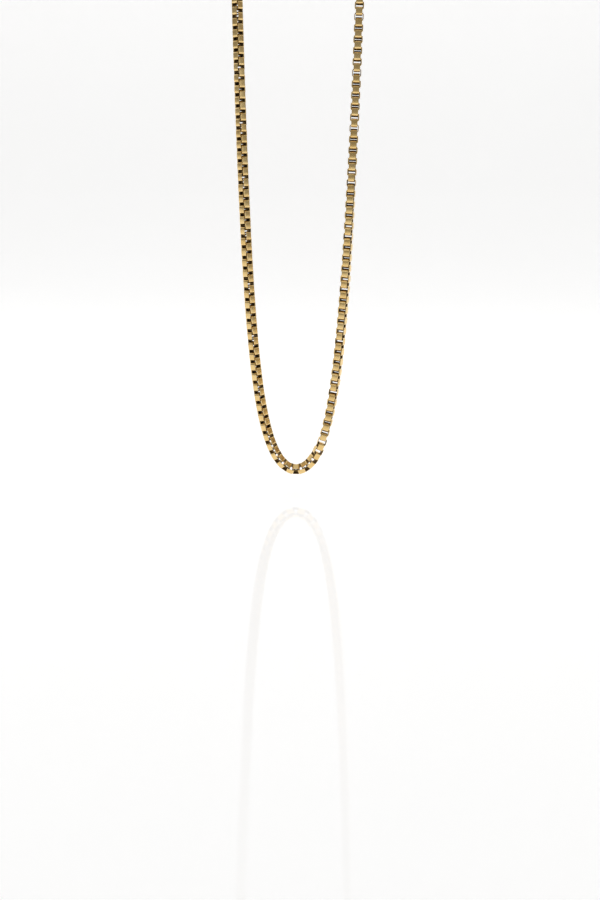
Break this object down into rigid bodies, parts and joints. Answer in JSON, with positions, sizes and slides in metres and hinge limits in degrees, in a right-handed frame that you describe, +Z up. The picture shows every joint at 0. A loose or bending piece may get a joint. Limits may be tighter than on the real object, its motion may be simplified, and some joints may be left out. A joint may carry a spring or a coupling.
{
  "type": "chain necklace",
  "caption": "Gold-coloured box-chain necklace hanging in a long loop, with square interlocked links and a sprung lobster clasp joined by round rings.",
  "frame": {"origin": "on the axis of the round display bar that the necklace hangs over", "axes": "+Z up, X across the loop with the clasp's hook towards +X, -Y the front that a viewer faces"},
  "size_m": [0.0372, 0.0049, 0.2174],
  "materials": {
    "gold_chain": "polished",
    "gold_rings": "polished",
    "gold_clasp": "polished",
    "steel": "bright drawn"
  },
  "bodies": {
    "top": {"left_chain_over_bar": "gold_chain", "right_chain_over_bar": "gold_chain"},
    "left_strand_01": {"left_strand_01": "gold_chain"},
    "right_strand_01": {"right_strand_01": "gold_chain"},
    "left_strand_02": {"left_strand_02": "gold_chain"},
    "right_strand_02": {"right_strand_02": "gold_chain"},
    "left_strand_03": {"left_strand_03": "gold_chain"},
    "right_strand_03": {"right_strand_03": "gold_chain"},
    "left_strand_04": {"left_strand_04": "gold_chain"},
    "right_strand_04": {"right_strand_04": "gold_chain"},
    "left_strand_05": {"left_strand_05": "gold_chain"},
    "right_strand_05": {"right_strand_05": "gold_chain"},
    "left_strand_06": {"left_strand_06": "gold_chain"},
    "right_strand_06": {"right_strand_06": "gold_chain"},
    "left_strand_07": {"left_strand_07": "gold_chain"},
    "right_strand_07": {"right_strand_07": "gold_chain"},
    "left_strand_08": {"left_strand_08": "gold_chain"},
    "right_strand_08": {"right_strand_08": "gold_chain"},
    "left_strand_09": {"left_strand_09": "gold_chain"},
    "right_strand_09": {"right_strand_09": "gold_chain"},
    "left_strand_10": {"left_strand_10": "gold_chain"},
    "right_strand_10": {"right_strand_10": "gold_chain"},
    "left_strand_11": {"left_strand_11": "gold_chain"},
    "right_strand_11": {"right_strand_11": "gold_chain"},
    "left_strand_12": {"left_strand_12": "gold_chain"},
    "right_strand_12": {"right_strand_12": "gold_chain"},
    "left_strand_13": {"left_strand_13": "gold_chain"},
    "right_strand_13": {"right_strand_13": "gold_chain"},
    "bend_link_l8": {"bend_link_l8": "gold_chain"},
    "bend_link_r8": {"bend_link_r8": "gold_chain"},
    "bend_link_l7": {"bend_link_l7": "gold_chain"},
    "bend_link_r7": {"bend_link_r7": "gold_chain"},
    "bend_link_l6": {"bend_link_l6": "gold_chain"},
    "bend_link_r6": {"bend_link_r6": "gold_chain"},
    "bend_link_l5": {"bend_link_l5": "gold_chain"},
    "bend_link_r5": {"bend_link_r5": "gold_chain"},
    "bend_link_l4": {"bend_link_l4": "gold_chain"},
    "bend_link_r4": {"bend_link_r4": "gold_chain"},
    "bend_link_l3": {"bend_link_l3": "gold_chain"},
    "bend_link_r3": {"bend_link_r3": "gold_chain"},
    "bend_link_l2": {"bend_link_l2": "gold_chain"},
    "bend_link_r2": {"bend_link_r2": "gold_chain"},
    "bend_link_l1": {"bend_link_l1": "gold_chain"},
    "bend_link_r1": {"bend_link_r1": "gold_chain"},
    "bend_link_mid": {"bend_link_mid": "gold_chain"},
    "jump_ring": {"jump_ring": "gold_rings"},
    "end_ring": {"end_ring": "gold_rings"},
    "clasp": {"clasp_body": "gold_clasp", "clasp_rivet": "steel", "clasp_spring": "steel"},
    "clasp_lever": {"clasp_lever": "gold_clasp"}
  },
  "joints": [
    {"name": "left_swing_01", "type": "hinge", "parent": "top", "child": "left_strand_01", "pos_m": [-0.01733, 0, -0.00455], "axis": [1, 0, 0], "range_deg": [-15, 15]},
    {"name": "right_swing_01", "type": "hinge", "parent": "top", "child": "right_strand_01", "pos_m": [0.01733, 0, -0.00455], "axis": [1, 0, 0], "range_deg": [-15, 15]},
    {"name": "left_swing_02", "type": "hinge", "parent": "left_strand_01", "child": "left_strand_02", "pos_m": [-0.01708, 0, -0.01874], "axis": [1, 0, 0], "range_deg": [-15, 15]},
    {"name": "right_swing_02", "type": "hinge", "parent": "right_strand_01", "child": "right_strand_02", "pos_m": [0.01708, 0, -0.01874], "axis": [1, 0, 0], "range_deg": [-15, 15]},
    {"name": "left_swing_03", "type": "hinge", "parent": "left_strand_02", "child": "left_strand_03", "pos_m": [-0.01681, 0, -0.03294], "axis": [1, 0, 0], "range_deg": [-15, 15]},
    {"name": "right_swing_03", "type": "hinge", "parent": "right_strand_02", "child": "right_strand_03", "pos_m": [0.01681, 0, -0.03294], "axis": [1, 0, 0], "range_deg": [-15, 15]},
    {"name": "left_swing_04", "type": "hinge", "parent": "left_strand_03", "child": "left_strand_04", "pos_m": [-0.01651, 0, -0.04714], "axis": [1, 0, 0], "range_deg": [-15, 15]},
    {"name": "right_swing_04", "type": "hinge", "parent": "right_strand_03", "child": "right_strand_04", "pos_m": [0.01651, 0, -0.04714], "axis": [1, 0, 0], "range_deg": [-15, 15]},
    {"name": "left_swing_05", "type": "hinge", "parent": "left_strand_04", "child": "left_strand_05", "pos_m": [-0.01619, 0, -0.06134], "axis": [1, 0, 0], "range_deg": [-15, 15]},
    {"name": "right_swing_05", "type": "hinge", "parent": "right_strand_04", "child": "right_strand_05", "pos_m": [0.01619, 0, -0.06134], "axis": [1, 0, 0], "range_deg": [-15, 15]},
    {"name": "left_swing_06", "type": "hinge", "parent": "left_strand_05", "child": "left_strand_06", "pos_m": [-0.01583, 0, -0.07553], "axis": [1, 0, 0], "range_deg": [-15, 15]},
    {"name": "right_swing_06", "type": "hinge", "parent": "right_strand_05", "child": "right_strand_06", "pos_m": [0.01583, 0, -0.07553], "axis": [1, 0, 0], "range_deg": [-15, 15]},
    {"name": "left_swing_07", "type": "hinge", "parent": "left_strand_06", "child": "left_strand_07", "pos_m": [-0.01543, 0, -0.08973], "axis": [1, 0, 0], "range_deg": [-15, 15]},
    {"name": "right_swing_07", "type": "hinge", "parent": "right_strand_06", "child": "right_strand_07", "pos_m": [0.01543, 0, -0.08973], "axis": [1, 0, 0], "range_deg": [-15, 15]},
    {"name": "left_swing_08", "type": "hinge", "parent": "left_strand_07", "child": "left_strand_08", "pos_m": [-0.01497, 0, -0.10392], "axis": [1, 0, 0], "range_deg": [-15, 15]},
    {"name": "right_swing_08", "type": "hinge", "parent": "right_strand_07", "child": "right_strand_08", "pos_m": [0.01497, 0, -0.10392], "axis": [1, 0, 0], "range_deg": [-15, 15]},
    {"name": "left_swing_09", "type": "hinge", "parent": "left_strand_08", "child": "left_strand_09", "pos_m": [-0.01444, 0, -0.11811], "axis": [1, 0, 0], "range_deg": [-15, 15]},
    {"name": "right_swing_09", "type": "hinge", "parent": "right_strand_08", "child": "right_strand_09", "pos_m": [0.01444, 0, -0.11811], "axis": [1, 0, 0], "range_deg": [-15, 15]},
    {"name": "left_swing_10", "type": "hinge", "parent": "left_strand_09", "child": "left_strand_10", "pos_m": [-0.0138, 0, -0.13229], "axis": [1, 0, 0], "range_deg": [-15, 15]},
    {"name": "right_swing_10", "type": "hinge", "parent": "right_strand_09", "child": "right_strand_10", "pos_m": [0.0138, 0, -0.13229], "axis": [1, 0, 0], "range_deg": [-15, 15]},
    {"name": "left_swing_11", "type": "hinge", "parent": "left_strand_10", "child": "left_strand_11", "pos_m": [-0.013, 0, -0.14647], "axis": [1, 0, 0], "range_deg": [-15, 15]},
    {"name": "right_swing_11", "type": "hinge", "parent": "right_strand_10", "child": "right_strand_11", "pos_m": [0.013, 0, -0.14647], "axis": [1, 0, 0], "range_deg": [-15, 15]},
    {"name": "left_swing_12", "type": "hinge", "parent": "left_strand_11", "child": "left_strand_12", "pos_m": [-0.01194, 0, -0.16063], "axis": [1, 0, 0], "range_deg": [-15, 15]},
    {"name": "right_swing_12", "type": "hinge", "parent": "right_strand_11", "child": "right_strand_12", "pos_m": [0.01194, 0, -0.16063], "axis": [1, 0, 0], "range_deg": [-15, 15]},
    {"name": "left_swing_13", "type": "hinge", "parent": "left_strand_12", "child": "left_strand_13", "pos_m": [-0.01035, 0, -0.17474], "axis": [1, 0, 0], "range_deg": [-15, 15]},
    {"name": "right_swing_13", "type": "hinge", "parent": "right_strand_12", "child": "right_strand_13", "pos_m": [0.01035, 0, -0.17474], "axis": [1, 0, 0], "range_deg": [-15, 15]},
    {"name": "bend_swing_l8", "type": "hinge", "parent": "left_strand_13", "child": "bend_link_l8", "pos_m": [-0.00739, 0, -0.18861], "axis": [1, 0, 0], "range_deg": [-10, 10]},
    {"name": "bend_swing_r8", "type": "hinge", "parent": "right_strand_13", "child": "bend_link_r8", "pos_m": [0.00739, 0, -0.18861], "axis": [1, 0, 0], "range_deg": [-10, 10]},
    {"name": "bend_swing_l7", "type": "hinge", "parent": "bend_link_l8", "child": "bend_link_l7", "pos_m": [-0.00691, 0, -0.18995], "axis": [1, 0, 0], "range_deg": [-10, 10]},
    {"name": "bend_swing_r7", "type": "hinge", "parent": "bend_link_r8", "child": "bend_link_r7", "pos_m": [0.00691, 0, -0.18995], "axis": [1, 0, 0], "range_deg": [-10, 10]},
    {"name": "bend_swing_l6", "type": "hinge", "parent": "bend_link_l7", "child": "bend_link_l6", "pos_m": [-0.00637, 0, -0.19126], "axis": [1, 0, 0], "range_deg": [-10, 10]},
    {"name": "bend_swing_r6", "type": "hinge", "parent": "bend_link_r7", "child": "bend_link_r6", "pos_m": [0.00637, 0, -0.19126], "axis": [1, 0, 0], "range_deg": [-10, 10]},
    {"name": "bend_swing_l5", "type": "hinge", "parent": "bend_link_l6", "child": "bend_link_l5", "pos_m": [-0.00576, 0, -0.19254], "axis": [1, 0, 0], "range_deg": [-10, 10]},
    {"name": "bend_swing_r5", "type": "hinge", "parent": "bend_link_r6", "child": "bend_link_r5", "pos_m": [0.00576, 0, -0.19254], "axis": [1, 0, 0], "range_deg": [-10, 10]},
    {"name": "bend_swing_l4", "type": "hinge", "parent": "bend_link_l5", "child": "bend_link_l4", "pos_m": [-0.00505, 0, -0.19377], "axis": [1, 0, 0], "range_deg": [-10, 10]},
    {"name": "bend_swing_r4", "type": "hinge", "parent": "bend_link_r5", "child": "bend_link_r4", "pos_m": [0.00505, 0, -0.19377], "axis": [1, 0, 0], "range_deg": [-10, 10]},
    {"name": "bend_swing_l3", "type": "hinge", "parent": "bend_link_l4", "child": "bend_link_l3", "pos_m": [-0.00421, 0, -0.19492], "axis": [1, 0, 0], "range_deg": [-10, 10]},
    {"name": "bend_swing_r3", "type": "hinge", "parent": "bend_link_r4", "child": "bend_link_r3", "pos_m": [0.00421, 0, -0.19492], "axis": [1, 0, 0], "range_deg": [-10, 10]},
    {"name": "bend_swing_l2", "type": "hinge", "parent": "bend_link_l3", "child": "bend_link_l2", "pos_m": [-0.00322, 0, -0.19594], "axis": [1, 0, 0], "range_deg": [-10, 10]},
    {"name": "bend_swing_r2", "type": "hinge", "parent": "bend_link_r3", "child": "bend_link_r2", "pos_m": [0.00322, 0, -0.19594], "axis": [1, 0, 0], "range_deg": [-10, 10]},
    {"name": "bend_swing_l1", "type": "hinge", "parent": "bend_link_l2", "child": "bend_link_l1", "pos_m": [-0.00205, 0, -0.19674], "axis": [1, 0, 0], "range_deg": [-10, 10]},
    {"name": "bend_swing_r1", "type": "hinge", "parent": "bend_link_r2", "child": "bend_link_r1", "pos_m": [0.00205, 0, -0.19674], "axis": [1, 0, 0], "range_deg": [-10, 10]},
    {"name": "bend_swing_mid", "type": "hinge", "parent": "bend_link_l1", "child": "bend_link_mid", "pos_m": [-0.00071, 0, -0.1972], "axis": [1, 0, 0], "range_deg": [-7, 7]},
    {"name": "jump_ring_rock", "type": "hinge", "parent": "top", "child": "jump_ring", "pos_m": [-0.00795, 0, 0.01546], "axis": [0.92, 0, 0.3919], "range_deg": [-15, 15]},
    {"name": "end_ring_rock", "type": "hinge", "parent": "top", "child": "end_ring", "pos_m": [0.00795, 0, 0.01546], "axis": [0.9414, 0, -0.3372], "range_deg": [-15, 15]},
    {"name": "clasp_lift", "type": "hinge", "parent": "top", "child": "clasp", "pos_m": [0, 0, 0.01691], "axis": [1, 0, 0], "range_deg": [0, 20]},
    {"name": "lever_open", "type": "hinge", "parent": "clasp", "child": "clasp_lever", "pos_m": [-0.0006, 0.00135, 0.01691], "axis": [0, 0, -1], "range_deg": [0, 16], "stiffness_Nm_per_rad": 0.004, "springref_deg": -28.65}
  ],
  "couplings": [
    {"joint": "right_swing_01", "follows": "left_swing_01", "ratio": 1},
    {"joint": "right_swing_02", "follows": "left_swing_02", "ratio": 1},
    {"joint": "right_swing_03", "follows": "left_swing_03", "ratio": 1},
    {"joint": "right_swing_04", "follows": "left_swing_04", "ratio": 1},
    {"joint": "right_swing_05", "follows": "left_swing_05", "ratio": 1},
    {"joint": "right_swing_06", "follows": "left_swing_06", "ratio": 1},
    {"joint": "right_swing_07", "follows": "left_swing_07", "ratio": 1},
    {"joint": "right_swing_08", "follows": "left_swing_08", "ratio": 1},
    {"joint": "right_swing_09", "follows": "left_swing_09", "ratio": 1},
    {"joint": "right_swing_10", "follows": "left_swing_10", "ratio": 1},
    {"joint": "right_swing_11", "follows": "left_swing_11", "ratio": 1},
    {"joint": "right_swing_12", "follows": "left_swing_12", "ratio": 1},
    {"joint": "right_swing_13", "follows": "left_swing_13", "ratio": 1},
    {"joint": "bend_swing_r8", "follows": "bend_swing_l8", "ratio": 1},
    {"joint": "bend_swing_r7", "follows": "bend_swing_l7", "ratio": 1},
    {"joint": "bend_swing_r6", "follows": "bend_swing_l6", "ratio": 1},
    {"joint": "bend_swing_r5", "follows": "bend_swing_l5", "ratio": 1},
    {"joint": "bend_swing_r4", "follows": "bend_swing_l4", "ratio": 1},
    {"joint": "bend_swing_r3", "follows": "bend_swing_l3", "ratio": 1},
    {"joint": "bend_swing_r2", "follows": "bend_swing_l2", "ratio": 1},
    {"joint": "bend_swing_r1", "follows": "bend_swing_l1", "ratio": 1}
  ]
}
